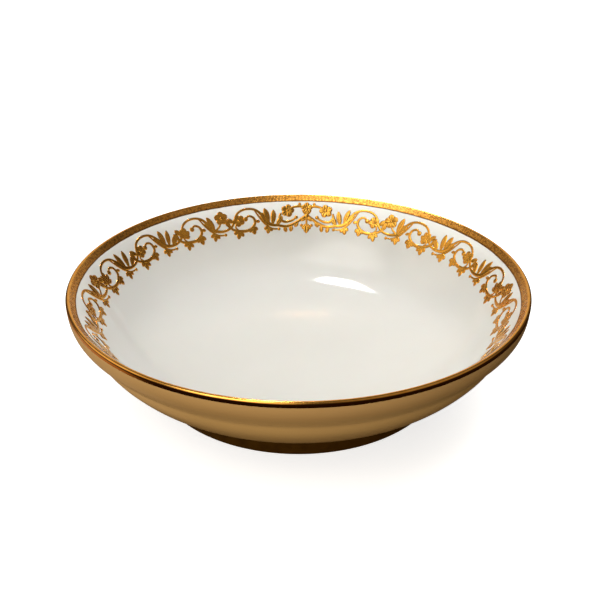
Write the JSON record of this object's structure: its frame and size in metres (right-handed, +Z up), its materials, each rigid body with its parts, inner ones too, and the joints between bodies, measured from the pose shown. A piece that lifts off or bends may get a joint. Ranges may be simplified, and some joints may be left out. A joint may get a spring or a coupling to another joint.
{
  "type": "porcelain serving bowl",
  "caption": "Round shallow porcelain serving bowl with a gilt lip, a raised gilt scroll frieze inside, a tan outer glaze and a brown foot ring.",
  "frame": {"origin": "on the table surface, at the middle of the foot ring's resting face", "axes": "+Z up along the axis the bowl is turned about; +Y towards the frieze's main motif, at the back wall"},
  "size_m": [0.24, 0.24, 0.0584],
  "materials": {
    "white_porcelain": "gloss",
    "brown_foot_glaze": "satin",
    "tan_ground_glaze": "satin",
    "lip_gold": "gloss",
    "raised_gold": "satin"
  },
  "bodies": {
    "root": {"bowl_body": "white_porcelain", "foot_ring": "brown_foot_glaze", "outer_glaze": "tan_ground_glaze", "lip_gilding": "lip_gold", "motif_back": "raised_gold", "motif_front": "raised_gold", "scroll_left_1": "raised_gold", "scroll_left_2": "raised_gold", "scroll_left_3": "raised_gold", "scroll_left_4": "raised_gold", "scroll_left_5": "raised_gold", "scroll_left_6": "raised_gold", "scroll_left_7": "raised_gold", "scroll_left_8": "raised_gold", "scroll_right_1": "raised_gold", "scroll_right_2": "raised_gold", "scroll_right_3": "raised_gold", "scroll_right_4": "raised_gold", "scroll_right_5": "raised_gold", "scroll_right_6": "raised_gold", "scroll_right_7": "raised_gold", "scroll_right_8": "raised_gold"}
  },
  "joints": []
}
